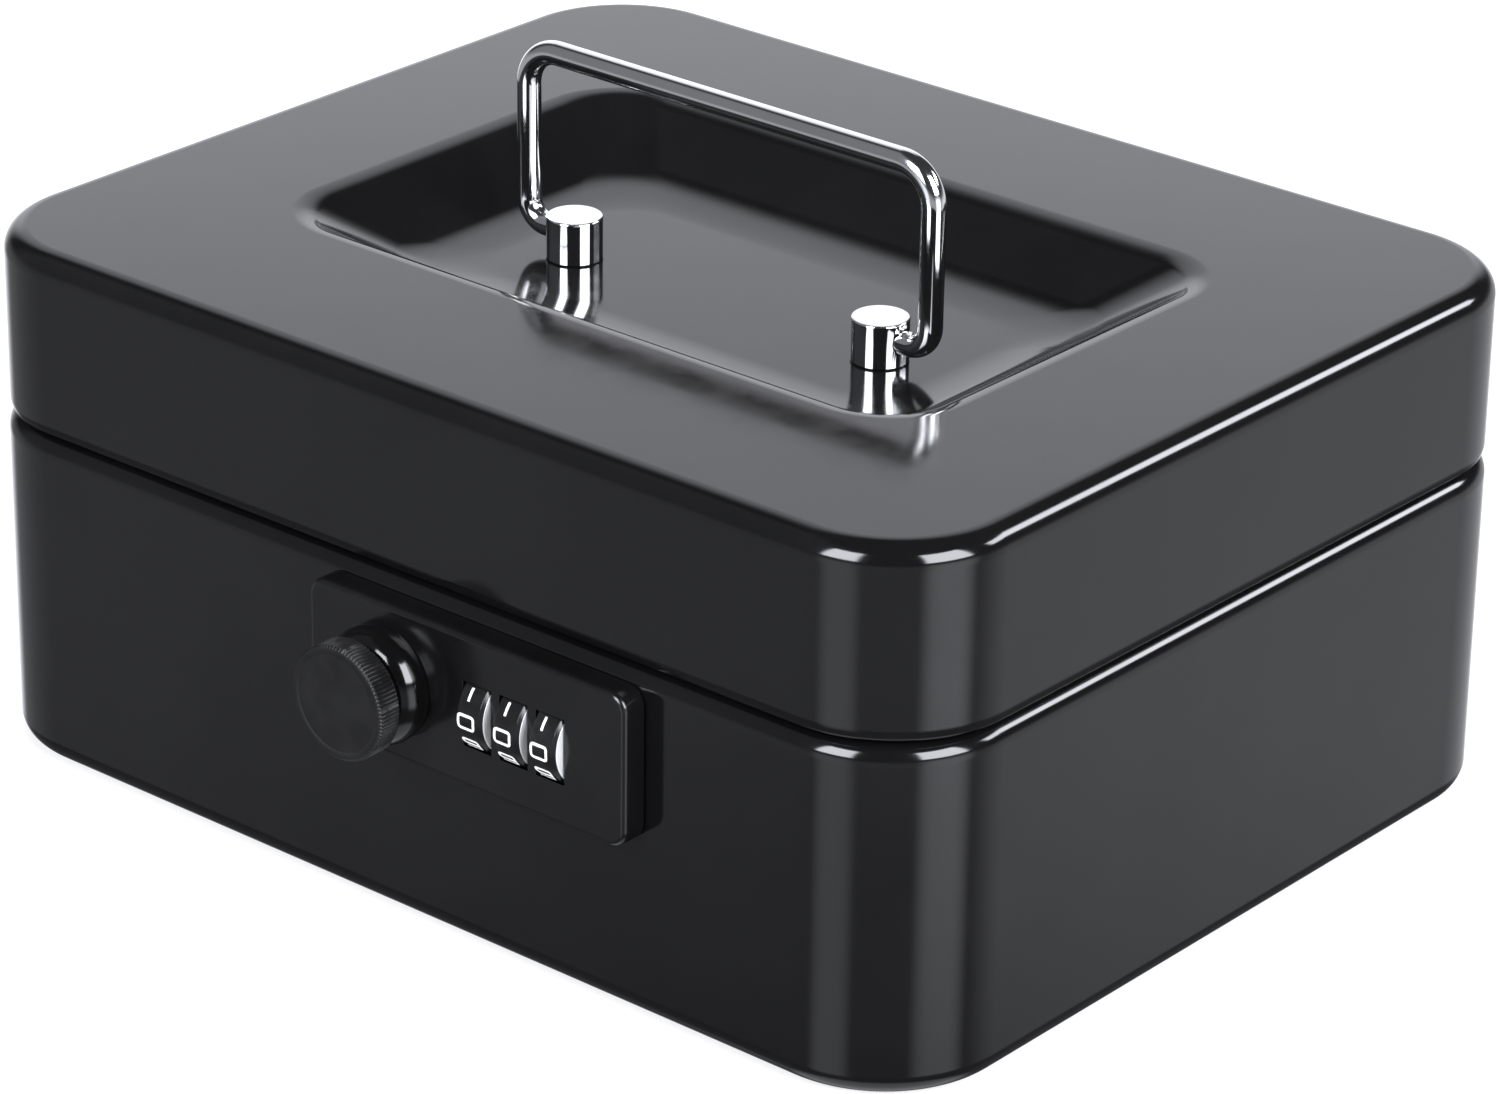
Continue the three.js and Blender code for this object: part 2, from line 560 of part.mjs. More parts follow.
function detentSpring() {
  const { frontY, backY, overhang, half, rootZ, waistZ, tipZ } = SPRING;
  const strip = block(DIAL_XS[0] - overhang, DIAL_XS[2] + overhang, frontY, backY, rootZ, waistZ);
  const fingers = DIAL_XS.map((x) => block(x - half, x + half, frontY, backY, waistZ - 0.5, tipZ));
  return join(strip, ...fingers);
}

function dialWheel(x) {
  const [left, right] = [x - DIAL.width / 2, x + DIAL.width / 2];
  const profile = [
    [DIAL.bore, left],
    [DIAL.radius, left],
    [DIAL.radius, right - DIAL.chamfer],
    [DIAL.radius - DIAL.chamfer, right],
    [DIAL.bore, right],
    [DIAL.bore, left],
  ];
  return turned(profile, "x", DIAL.y, DIAL.z, 40);
}

// The sleeve's keyway faces the rear when its dial reads 0, and lets the code rod's tooth through.
function dialSleeve(x) {
  const [left, right] = [x - SLEEVE_WIDTH / 2, x + SLEEVE_WIDTH / 2];
  const outer = cylinder("x", DIAL.y, DIAL.z, DIAL.bore - GAP, left, right, 24);
  const bore = cylinder("x", DIAL.y, DIAL.z, CODE_ROD.radius + GAP, left - 1, right + 1, 20);
  const halfKey = CODE_ROD.toothWidth / 2 + GAP;
  const keyway = block(
    left - 1, right + 1, DIAL.y, DIAL.y + CODE_ROD.toothReach + GAP, DIAL.z - halfKey, DIAL.z + halfKey,
  );
  return cut(outer, bore, keyway);
}

function codeRod() {
  const endX = armStartX() - GAP;
  const rod = cylinder("x", DIAL.y, DIAL.z, CODE_ROD.radius, CODE_ROD.startX, endX, 20);
  const teeth = DIAL_XS.map((x) => {
    const toothMaxX = x - SLEEVE_WIDTH / 2 - CODE_ROD.toothGap;
    return block(
      toothMaxX - CODE_ROD.toothLength, toothMaxX, DIAL.y + 1.5, DIAL.y + CODE_ROD.toothReach,
      DIAL.z - CODE_ROD.toothWidth / 2, DIAL.z + CODE_ROD.toothWidth / 2,
    );
  });
  return join(rod, ...teeth);
}

const armStartX = () => DIAL_XS[2] + BAR.armReach;

function latchBar() {
  const armX = armStartX();
  const endX = armX + BAR.backY - BAR.frontY;
  const strip = block(BAR.startX, endX, BAR.frontY, BAR.backY, BAR.minZ, BAR.maxZ);
  const riser = block(FINGER.riserMinX, FINGER.riserMaxX, BAR.frontY, BAR.backY, BAR.maxZ - 1, FINGER.maxZ);
  const finger = block(FINGER.riserMaxX - 1, FINGER.tipX, BAR.frontY, BAR.backY, FINGER.minZ, FINGER.maxZ);
  const arm = block(armX, endX, BAR.armFrontY, BAR.backY, DIAL.z - 2, DIAL.z + 3.4);
  const pinX = KNOB.x - CRANK_SWING;
  const slotHalf = CRANK.pin + GAP;
  const pinSlot = block(
    pinX - slotHalf, pinX + slotHalf, BAR.frontY - 1, BAR.backY + 1,
    KNOB.z + CRANK_SWING - slotHalf, KNOB.z + CRANK.radius + slotHalf,
  );
  return cut(join(strip, riser, finger, arm), pinSlot);
}

function codeLever() {
  const coverFrontY = CASE.backY + GAP;
  const { x, z, footHalf, neckHalf, buttonHalf } = LEVER;
  const foot = block(
    x - footHalf, x + footHalf, coverFrontY - 1.1, coverFrontY - GAP, z - footHalf, z + footHalf,
  );
  const neck = block(
    x - neckHalf, x + neckHalf, coverFrontY - 1, coverFrontY + 2, z - neckHalf, z + neckHalf,
  );
  const button = block(
    x - buttonHalf, x + buttonHalf, coverFrontY + 1 + GAP, coverFrontY + 3, z - footHalf, z + footHalf,
  );
  return join(foot, neck, button);
}

// ---------------------------------------------------------------- tray
function moneyTray() {
  const midY = (TRAY.minY + TRAY.maxY) / 2;
  const halfY = (TRAY.maxY - TRAY.minY) / 2;
  const body = prism(roundedShape(0, midY, TRAY.halfX, halfY, TRAY.corner), "z", TRAY.minZ, TRAY.maxZ);
  const { cups: cupCount, dividerY, cupFillet, noteFillet } = TRAY_POCKETS;
  const [floorZ, openZ] = [TRAY.minZ + TRAY.wall, TRAY.maxZ + 12];
  const cornerRadius = TRAY.corner - TRAY.wall;
  const innerWidth = 2 * (TRAY.halfX - TRAY.wall);
  const cupWidth = (innerWidth - (cupCount - 1) * TRAY.wall) / cupCount;
  const cups = Array.from({ length: cupCount }, (_, i) => {
    const x = -innerWidth / 2 + cupWidth / 2 + i * (cupWidth + TRAY.wall);
    const [y0, y1] = [TRAY.minY + TRAY.wall, dividerY];
    const outline = roundedShape(x, (y0 + y1) / 2, cupWidth / 2, (y1 - y0) / 2, cornerRadius);
    return prism(outline, "z", floorZ, openZ, cupFillet, 4, 4);
  });
  const [noteY0, noteY1] = [dividerY + TRAY.wall, TRAY.maxY - TRAY.wall];
  const noteOutline = roundedShape(
    0, (noteY0 + noteY1) / 2, innerWidth / 2, (noteY1 - noteY0) / 2, cornerRadius,
  );
  const notes = prism(noteOutline, "z", floorZ, openZ, noteFillet, 3, 4);
  return cut(body, notes, ...cups);
}

// ---------------------------------------------------------------- assembly
const object = new THREE.Group();

function bodyGroup() {
  const group = new THREE.Group();
  object.add(group);
  return (name, solid, paint) => {
    const material = new THREE.MeshStandardMaterial(PAINTS[paint]);
    const mesh = new THREE.Mesh(geometryOf(solid), material);
    mesh.name = name;
    group.add(mesh);
  };
}

const SIDES = { left: -1, right: 1 };

const addToBase = bodyGroup();
addToBase("base_shell", baseShell(), "blackPaint");
addToBase("lock_plate", lockPlate(), "blackPaint");
addToBase("knob_collar", knobCollar(), "blackPlastic");
addToBase("collar_nut", collarNut(), "zinc");
addToBase("lock_case", lockCase(), "zinc");
addToBase("lock_cover", lockCover(), "zinc");
addToBase("dial_bracket", dialBracket(), "zinc");
addToBase("detent_spring", detentSpring(), "zinc");
for (const [side, sign] of Object.entries(SIDES)) {
  addToBase(`tray_ledge_${side}`, trayLedge(sign), "blackPaint");
  addToBase(`hinge_base_leaf_${side}`, hingeLeaf(sign * HINGE.x, -1), "blackPaint");
  addToBase(`hinge_pin_${side}`, hingePin(sign * HINGE.x), "zinc");
  addToBase(`cover_screw_${side}`, coverScrew(caseScrewXs()[sign > 0 ? 1 : 0]), "zinc");
}

const addToLid = bodyGroup();
addToLid("lid_shell", lidShell(), "blackPaint");
addToLid("lid_striker", striker(), "zinc");
for (const [side, sign] of Object.entries(SIDES)) {
  addToLid(`hinge_lid_leaf_${side}`, lidHingeLeaf(sign * HINGE.x), "blackPaint");
  addToLid(`handle_post_${side}`, handlePost(sign), "chrome");
  addToLid(`post_washer_${side}`, postWasher(sign), "zinc");
  addToLid(`post_nut_${side}`, postNut(sign), "zinc");
}

const addToHandle = bodyGroup();
addToHandle("handle_bail", handleBail(), "chrome");

const addToKnob = bodyGroup();
addToKnob("knob_disc", knobDisc(), "blackPlastic");
addToKnob("knob_spindle", knobSpindle(), "zinc");
addToKnob("crank_arm", crankArm(), "zinc");

const addToLatch = bodyGroup();
addToLatch("latch_bar", latchBar(), "zinc");
addToLatch("code_rod", codeRod(), "zinc");

DIAL_XS.forEach((x, i) => {
  const addToDial = bodyGroup();
  addToDial(`dial_wheel_${i + 1}`, dialWheel(x), "blackPlastic");
  addToDial(`dial_sleeve_${i + 1}`, dialSleeve(x), "brass");
});

const addToLever = bodyGroup();
addToLever("code_lever", codeLever(), "blackPlastic");

const addToTray = bodyGroup();
addToTray("money_tray", moneyTray(), "grayPlastic");

export default object;
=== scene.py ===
"""Looks of the cash box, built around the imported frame. Lengths are in millimetres until a mesh is made."""

import json
import math

import bmesh
import bpy
from mathutils import Matrix, Vector


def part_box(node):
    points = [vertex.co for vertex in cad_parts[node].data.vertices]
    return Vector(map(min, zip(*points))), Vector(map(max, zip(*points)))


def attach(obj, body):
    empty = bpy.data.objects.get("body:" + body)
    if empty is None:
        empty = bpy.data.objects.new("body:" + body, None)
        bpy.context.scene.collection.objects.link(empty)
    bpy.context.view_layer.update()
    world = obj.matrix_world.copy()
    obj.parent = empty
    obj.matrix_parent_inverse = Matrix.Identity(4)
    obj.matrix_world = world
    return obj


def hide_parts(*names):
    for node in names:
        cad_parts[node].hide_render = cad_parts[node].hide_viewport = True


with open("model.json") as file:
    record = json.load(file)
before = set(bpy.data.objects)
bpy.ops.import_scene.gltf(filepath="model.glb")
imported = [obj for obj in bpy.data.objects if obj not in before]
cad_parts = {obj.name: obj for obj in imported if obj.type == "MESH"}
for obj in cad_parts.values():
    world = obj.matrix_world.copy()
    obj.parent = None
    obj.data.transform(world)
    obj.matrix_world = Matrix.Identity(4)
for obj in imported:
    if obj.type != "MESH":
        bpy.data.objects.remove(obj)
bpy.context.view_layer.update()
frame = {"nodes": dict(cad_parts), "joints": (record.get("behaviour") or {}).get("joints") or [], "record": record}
MM = 0.001
JOINT_POS = {j["name"]: [c / MM for c in j["pos_m"]] for j in frame["joints"] if "pos_m" in j}


def box(node):
    low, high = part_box(node)
    return [c / MM for c in low], [c / MM for c in high]


def middle(node):
    low, high = box(node)
    return [(a + b) / 2 for a, b in zip(low, high)]


# ------------------------------------------------------------------ driving sizes
CORNER_STEPS = 24
SHEET = 1.0
HAIRLINE = 0.05
LID = {"corner": 21.4, "top": 4.0, "lip": 0.5, "curl": 0.2, "roll_in": 1.3, "straight_above": 6}
BASE = {"corner": 21.65, "bottom": 4.0, "shoulder_z": 58.5, "shoulder": 3.4, "lip_inset": 2.6, "lip": 0.5,
        "lip_foot": 0.15, "inner_foot": 0.2}
PAN = {"x": 67.6, "y": 43.75, "corner": 15.0, "floor_corner": 10.0, "floor_z": 80.2, "slope": 35,
       "roll": 7.5, "fillet": 10.0, "dish": 60.0, "dish_slope": 7}
POST = {"chamfer": 0.35, "foot_chamfer": 0.25, "stud": 2.0, "bore": 2.15, "bore_start": 0.5}
ROD = 2.0
BAIL = {"top_bend": 6.4, "foot_bend": 4.0}
PLATE = {"corner": 3.0, "edge": 0.9}
DIAL = {"radius": 7.2, "bore": 5.0, "chamfer": 0.5, "slot_radius": 7.6, "slot_width": 5.7}
DIGIT = {"half_width": 1.52, "half_height": 1.1, "stroke": 0.23, "corner": 0.55, "raise": 0.03,
         "shift": -0.6, "lean": 2, "sink": 0.05}
KNOB = {"teeth": 92, "knurl": 0.3, "hub": 6.5, "chamfer": 0.4, "back": -92.1, "bore": 3.2,
        "recess": 0.12, "recess_inset": 1.6, "face_inset": 1.45}
COLLAR_SHAPE = {"bore": 3.2, "tube": 4.5, "dome": 3.9, "foot_angle": 28}
WORKS = {"left": 9.5, "right": 11, "clear": 0.4, "skin": 2.1, "half_z": 3.8, "knob_hole": 4.8}
HINGE = {"knuckle": 2.3, "pin": 1.1, "gap": 0.3, "leaf": 15.0, "corner": 2.0, "half": 15.0, "inner": 5.0,
         "rivet": 9.5, "rivet_radius": 1.9, "heel_half": 4.7}
TRAY_SHAPE = {"corner": 14.0, "wall": 1.6, "divider_y": 4.0, "foot": 2.5, "rim": 0.5, "mouth": 0.6,
              "cups": 4, "cup_fillet": 8, "note_fillet": 3}


# ------------------------------------------------------------------ mesh helpers
def ring(half_x, half_y, radius, level, centre=(0, 0), steps=CORNER_STEPS):
    """A rounded rectangle as [u, v, level] points."""
    radius = max(radius, 0.02)
    points = []
    for sign_x, sign_y, start in ((1, -1, -90), (1, 1, 0), (-1, 1, 90), (-1, -1, 180)):
        for i in range(steps + 1):
            angle = math.radians(start + 90 * i / steps)
            points.append((
                centre[0] + sign_x * (half_x - radius) + radius * math.cos(angle),
                centre[1] + sign_y * (half_y - radius) + radius * math.sin(angle),
                level,
            ))
    return points


def arc(centre_a, centre_b, radius, start, end, steps=8):
    """Points of a circular arc, angles in degrees."""
    return [
        (centre_a + radius * math.cos(math.radians(start + (end - start) * i / steps)),
         centre_b + radius * math.sin(math.radians(start + (end - start) * i / steps)))
        for i in range(steps + 1)
    ]


def to_axis(points, axis):
    """[u, v, w] points with w along the axis: x takes (y, z), y takes (x, z), z takes (x, y)."""
    order = {"x": (2, 0, 1), "y": (0, 2, 1), "z": (0, 1, 2)}[axis]
    return [tuple(p[i] for i in order) for p in points]


def loft(rings):
    """Joins rings of equal length into one closed body, capped at the first and the last ring."""
    bm = bmesh.new()
    rows = [[bm.verts.new(Vector(p) * MM) for p in points] for points in rings]
    count = len(rows[0])
    for a, b in zip(rows, rows[1:]):
        for i in range(count):
            j = (i + 1) % count
            bm.faces.new((a[i], a[j], b[j], b[i]))
    for cap in (list(reversed(rows[0])), rows[-1]):
        bm.faces.new(cap)
    bmesh.ops.recalc_face_normals(bm, faces=bm.faces)
    return bm


def lathe(profile, axis, centre, steps=96, materials=None):
    """Turns [radius, along] points about an axis; a profile with both ends off the axis is a closed tube."""
    bm = bmesh.new()
    closed = profile[0][0] > 0
    rows = []
    for radius, along in profile:
        if radius <= 0:
            rows.append([bm.verts.new(Vector(to_axis([(centre[0], centre[1], along)], axis)[0]) * MM)])
            continue
        points = [
            (centre[0] + radius * math.cos(2 * math.pi * i / steps),
             centre[1] + radius * math.sin(2 * math.pi * i / steps), along)
            for i in range(steps)
        ]
        rows.append([bm.verts.new(Vector(p) * MM) for p in to_axis(points, axis)])
    pairs = list(zip(rows, rows[1:])) + ([(rows[-1], rows[0])] if closed else [])
    for index, (a, b) in enumerate(pairs):
        for i in range(steps):
            j = (i + 1) % steps
            corners = [a[i % len(a)], a[j % len(a)], b[j % len(b)], b[i % len(b)]]
            unique = [v for k, v in enumerate(corners) if v not in corners[:k]]
            face = bm.faces.new(unique)
            if materials:
                face.material_index = materials[index]
    bmesh.ops.recalc_face_normals(bm, faces=bm.faces)
    return bm


def cylinder(radius, start, end, axis, centre, steps=48):
    return lathe([(0, start), (radius, start), (radius, end), (0, end)], axis, centre, steps)


def brick(low, high):
    bm = bmesh.new()
    bmesh.ops.create_cube(bm, size=1)
    for v in bm.verts:
        v.co = Vector([(a + b) / 2 + c * (b - a) for a, b, c in zip(low, high, v.co)]) * MM
    return bm


def object_of(bm, name):
    mesh = bpy.data.meshes.new(name)
    bm.to_mesh(mesh)
    bm.free()
    obj = bpy.data.objects.new(name, mesh)
    bpy.context.scene.collection.objects.link(obj)
    return obj


def boolean(obj, operation, *tools):
    """Adds or cuts the tools one after another, and keeps the result as a plain mesh."""
    for bm in tools:
        tool = object_of(bm, "tool")
        modifier = obj.modifiers.new("boolean", "BOOLEAN")
        modifier.operation = operation
        modifier.solver = "EXACT"
        modifier.object = tool
        graph = bpy.context.evaluated_depsgraph_get()
        mesh = bpy.data.meshes.new_from_object(obj.evaluated_get(graph))
        obj.modifiers.clear()
        obj.data = mesh
        bpy.data.objects.remove(tool)


def soften(obj, width=0.0, angle=35):
    """Smooth shading that keeps flats flat, after an optional small bevel on the sharp edges."""
    obj.data.shade_smooth()
    if width:
        bevel = obj.modifiers.new("edge", "BEVEL")
        bevel.width = width * MM
        bevel.segments = 2
        bevel.limit_method = "ANGLE"
        bevel.angle_limit = math.radians(angle)
    else:
        obj.data.set_sharp_from_angle(angle=math.radians(angle))
    normals = obj.modifiers.new("normals", "WEIGHTED_NORMAL")
    normals.keep_sharp = True
    return obj


def piece(obj, body, slot, materials, *nodes):
    """Gives the object its materials, puts it on its body, and lets it stand in for its CAD nodes."""
    for index, material in enumerate(materials):
        if index < len(obj.data.materials):
            obj.data.materials[index] = material
        else:
            obj.data.materials.append(material)
    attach(obj, body)
    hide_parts(*nodes)


# ------------------------------------------------------------------ materials
def node(tree, kind, inputs=None, **settings):
    made = tree.nodes.new(kind)
    for key, value in settings.items():
        setattr(made, key, value)
    for key, value in (inputs or {}).items():
        if isinstance(value, bpy.types.NodeSocket):
            tree.links.new(value, made.inputs[key])
        else:
            made.inputs[key].default_value = value
    return made


def noise(tree, coords, scale, detail, rough, stretch=None):
    if stretch:
        coords = node(tree, "ShaderNodeMapping", {"Vector": coords, "Scale": stretch}).outputs["Vector"]
    return node(tree, "ShaderNodeTexNoise", {
        "Vector": coords, "Scale": scale, "Detail": detail, "Roughness": rough,
    }).outputs["Fac"]


def ranged(tree, value, low, high, to_low, to_high):
    return node(tree, "ShaderNodeMapRange", {
        "Value": value, "From Min": low, "From Max": high, "To Min": to_low, "To Max": to_high,
    }, interpolation_type="SMOOTHSTEP").outputs["Result"]


def mixed(tree, factor, first, second):
    mix = node(tree, "ShaderNodeMix", data_type="RGBA")
    for socket, value in ((mix.inputs[0], factor), (mix.inputs[6], first), (mix.inputs[7], second)):
        if isinstance(value, bpy.types.NodeSocket):
            tree.links.new(value, socket)
        else:
            socket.default_value = value
    return mix.outputs[2]


def shaded(name, colour, rough, *, spread, grain, grain_depth, metal=0.0, level=0.5, rough_spread=0.2,
           cloud=40, wave=0.0, worn_and_glint=None, wear_and_glint=0.0, brushed=None, specks=0.0):
    """A procedural finish: cloudy tone, uneven gloss, fine grain, slow waves of sheet, and lighter sharp edges
    that are worn paint and, where strong as on the knob, also painted glints on the knurl tips.
    """
    material = bpy.data.materials.new(name)
    material.use_nodes = True
    tree = material.node_tree
    tree.nodes.clear()
    coords = node(tree, "ShaderNodeTexCoord").outputs["Object"]
    clouds = noise(tree, coords, cloud, 4.0, 0.55)
    smudges = noise(tree, coords, cloud * 4.5, 5.0, 0.6)
    dark = [c * (1 - spread) for c in colour] + [1]
    light = [c * (1 + spread) for c in colour] + [1]
    tone = mixed(tree, ranged(tree, clouds, 0.35, 0.65, 0, 1), dark, light)
    if specks:
        dust = noise(tree, coords, 5200, 1.0, 0.4)
        tone = mixed(tree, ranged(tree, dust, 0.74, 0.8, 0, specks), tone, (0.25, 0.25, 0.25, 1))
    gloss = ranged(tree, smudges, 0.3, 0.7, rough * (1 - rough_spread), rough * (1 + rough_spread))
    # Lighter colour on sharp edges: paint wear, and on the knob's knurl tips also a painted glint.
    if wear_and_glint:
        edges = node(tree, "ShaderNodeNewGeometry").outputs["Pointiness"]
        rubbed_and_glint = ranged(tree, edges, 0.53, 0.62, 0, wear_and_glint)
        patchy_wear_and_glint = node(tree, "ShaderNodeMath", {0: rubbed_and_glint, 1: ranged(tree, smudges, 0.42, 0.6, 0, 1)},
                      operation="MULTIPLY").outputs[0]
        tone = mixed(tree, patchy_wear_and_glint, tone, (*worn_and_glint, 1))
    surface = node(tree, "ShaderNodeBsdfPrincipled", {
        "Base Color": tone, "Roughness": gloss, "Metallic": metal, "Specular IOR Level": level,
    })
    normal = None
    if wave:
        slow = noise(tree, coords, 9, 1.0, 0.4)
        normal = node(tree, "ShaderNodeBump", {"Height": slow, "Distance": wave * MM, "Strength": 1.0})
    fine = noise(tree, coords, grain, 2.0, 0.5, brushed)
    bump = {"Height": fine, "Distance": grain_depth * MM, "Strength": 1.0}
    if normal:
        bump["Normal"] = normal.outputs["Normal"]
    normal = node(tree, "ShaderNodeBump", bump)
    tree.links.new(normal.outputs["Normal"], surface.inputs["Normal"])
    output = node(tree, "ShaderNodeOutputMaterial")
    tree.links.new(surface.outputs["BSDF"], output.inputs["Surface"])
    return material


PAINT = shaded("black_paint", (0.003, 0.003, 0.0032), 0.1, spread=0.12, grain=500, grain_depth=0.0005,
               wave=0.03, worn_and_glint=(0.02, 0.02, 0.022), wear_and_glint=0.2, specks=0.02)
LOCK = shaded("lock_black", (0.0035, 0.0035, 0.0037), 0.2, spread=0.15, grain=1600, grain_depth=0.002,
              worn_and_glint=(0.02, 0.02, 0.02), wear_and_glint=0.1, specks=0.04)
COLLAR = shaded("collar_black", (0.002, 0.002, 0.0021), 0.1, spread=0.15, grain=600, grain_depth=0.001)
# Its light edge colour paints glints on the knurl tips along with wear.
KNOB_BLACK = shaded("knob_black", (0.004, 0.004, 0.0042), 0.46, level=0.4, spread=0.2, grain=2600,
                    grain_depth=0.004, worn_and_glint=(0.12, 0.12, 0.12), wear_and_glint=0.4, specks=0.08)
DIAL_BLACK = shaded("dial_black", (0.004, 0.004, 0.0043), 0.25, spread=0.15, grain=2500, grain_depth=0.002,
                    worn_and_glint=(0.1, 0.1, 0.1), wear_and_glint=0.3)
DIGIT_WHITE = shaded("digit_white", (0.82, 0.82, 0.8), 0.45, spread=0.06, grain=4000, grain_depth=0.004)
# The plated side is made pale and fairly rough, so it shows as bright as its mirror reflection of the lights
# would: a painted reflection.
DIAL_PLATED_PAINTED_SHINE = shaded("dial_plated_painted_shine", (0.82, 0.83, 0.84), 0.45, metal=0.35, spread=0.08, grain=3000,
                     grain_depth=0.002)
CHROME = shaded("chrome", (0.86, 0.87, 0.88), 0.045, metal=1.0, spread=0.03, rough_spread=0.5, grain=500,
                grain_depth=0.0006)
CHROME_ROD = shaded("chrome_rod", (0.86, 0.87, 0.88), 0.1, metal=1.0, spread=0.03, rough_spread=0.1,
                    grain=500, grain_depth=0.0004)
ZINC = shaded("zinc", (0.56, 0.57, 0.58), 0.33, metal=1.0, spread=0.14, rough_spread=0.3, cloud=160,
              grain=1500, grain_depth=0.006)
SPRING = shaded("spring_steel", (0.45, 0.46, 0.48), 0.22, metal=1.0, spread=0.1, grain=1200,
                grain_depth=0.004, brushed=(0.08, 1, 1))
BRASS = shaded("brass", (0.66, 0.47, 0.2), 0.28, metal=1.0, spread=0.15, grain=1200, grain_depth=0.004,
               brushed=(1, 0.1, 0.1))
TRAY = shaded("tray_plastic", (0.022, 0.0225, 0.024), 0.42, spread=0.12, grain=1300, grain_depth=0.02,
              specks=0.2)


# ------------------------------------------------------------------ lid
def lid_shell():
    """One sheet: the pan's floor and slope, over the rim, down the side, around the lower lip and back."""
    low, high = box("lid_shell")
    half_x, half_y, top, edge_z = high[0], high[1], high[2], low[2]
    slope, ease = math.radians(PAN["slope"]), math.radians(PAN["dish_slope"])
    drop = PAN["roll"] * (1 - math.cos(slope)) + PAN["fillet"] * (math.cos(ease) - math.cos(slope))
    dish_run, dish_rise = PAN["dish"] * math.sin(ease), PAN["dish"] * (1 - math.cos(ease))
    straight = (top - PAN["floor_z"] - drop - dish_rise) / math.sin(slope)
    fillet_run = PAN["fillet"] * (math.sin(slope) - math.sin(ease))
    run = PAN["roll"] * math.sin(slope) + straight * math.cos(slope) + fillet_run + dish_run

    def pan_ring(inset, level):
        radius = max(PAN["corner"] - inset, PAN["floor_corner"])
        return ring(PAN["x"] - inset, PAN["y"] - inset, radius, level)

    def side_ring(inset, level):
        return ring(half_x - inset, half_y - inset, LID["corner"] - inset, level)

    def pan(sheet):
        floor_z, gentle, angle = PAN["floor_z"], PAN["dish_slope"], PAN["slope"]
        dish = arc(run, floor_z + PAN["dish"], PAN["dish"] + sheet, -90, -90 - gentle, 8)
        foot_in = run - dish_run * (1 - PAN["fillet"] / PAN["dish"])
        foot_up = floor_z + dish_rise + PAN["fillet"] * math.cos(ease)
        foot = arc(foot_in, foot_up, PAN["fillet"] + sheet, -90 - gentle, -90 - angle, 10)[1:]
        rim = arc(0, top - PAN["roll"], PAN["roll"] - sheet, 90 - angle, 90, 12)
        return [pan_ring(a, b) for a, b in dish + foot + rim]

    def shoulder(sheet):
        radius = LID["top"] - sheet
        return [side_ring(LID["top"] - a, b) for a, b in arc(0, top - LID["top"], radius, 90, 0, 10)]

    lip, curl, roll_in = LID["lip"], LID["curl"], LID["roll_in"]
    outer = pan(0) + shoulder(0) + [side_ring(0, edge_z + LID["straight_above"])]
    outer += [side_ring(curl * t * t, edge_z + lip + roll_in * (1 - t)) for t in (0, 0.25, 0.5, 0.75, 1)]
    turn = [side_ring(curl + lip - a, b) for a, b in arc(0, edge_z + lip, lip, 0, -180, 8)[1:]]
    inner = list(reversed(pan(SHEET) + shoulder(SHEET)))
    obj = object_of(loft(outer + turn + inner), "lid_shell_look")
    piece(soften(obj), "lid", "black_paint", [PAINT], "lid_shell")


def handle_post(side):
    name = f"handle_post_{side}"
    low, high = box(name)
    x, y = middle(name)[:2]
    radius, chamfer, foot_chamfer = (high[0] - low[0]) / 2, POST["chamfer"], POST["foot_chamfer"]
    foot = PAN["floor_z"] + HAIRLINE
    profile = [
        (0, low[2]), (POST["stud"], low[2]), (POST["stud"], foot),
        (radius - foot_chamfer, foot), (radius, foot + foot_chamfer),
        *[(radius - chamfer + a, b) for a, b in arc(0, high[2] - chamfer, chamfer, 0, 90, 4)],
        (0, high[2]),
    ]
    obj = object_of(lathe(profile, "z", (x, y)), name + "_look")
    outward = 1 if x > 0 else -1
    near, far = sorted((x + outward * POST["bore_start"], x + outward * (radius + 1)))
    pivot = JOINT_POS["handle_hinge"]
    boolean(obj, "DIFFERENCE", cylinder(POST["bore"], near, far, "x", (pivot[1], pivot[2])))
    piece(soften(obj, 0.08), "lid", "chrome", [CHROME], name)


def handle_bail():
    """A round rod swept from post to post along two feet, two legs and the grip."""
    high = box("handle_bail")[1]
    pivot = JOINT_POS["handle_hinge"]
    leg, top = high[0] - ROD, high[2] - ROD
    inner = middle("handle_post_right")[0] + 1
    foot, bend = BAIL["foot_bend"], BAIL["top_bend"]
    path = [(-inner, pivot[2])]
    path += arc(-leg + foot, pivot[2] + foot, foot, -90, -180, 12)
    path += arc(-leg + bend, top - bend, bend, 180, 90, 16)
    path += arc(leg - bend, top - bend, bend, 90, 0, 16)
    path += arc(leg - foot, pivot[2] + foot, foot, 0, -90, 12)
    path.append((inner, pivot[2]))
    sides = 40
    across = Vector((0, 1, 0))
    rings = []
    for i, (x, z) in enumerate(path):
        before, after = path[max(i - 1, 0)], path[min(i + 1, len(path) - 1)]
        tangent = Vector((after[0] - before[0], 0, after[1] - before[1])).normalized()
        normal = tangent.cross(across)
        rings.append([
            Vector((x, pivot[1], z)) + ROD * (normal * math.cos(t) + across * math.sin(t))
            for t in (2 * math.pi * k / sides for k in range(sides))
        ])
    obj = object_of(loft(rings), "handle_bail_look")
    piece(soften(obj, 0.2), "handle", "chrome", [CHROME_ROD], "handle_bail")


# ------------------------------------------------------------------ base
def works_span():
    """Left and right ends of the opening that the row of dials stands in."""
    return box("dial_wheel_1")[0][0] - WORKS["left"], box("dial_wheel_3")[1][0] + WORKS["right"]


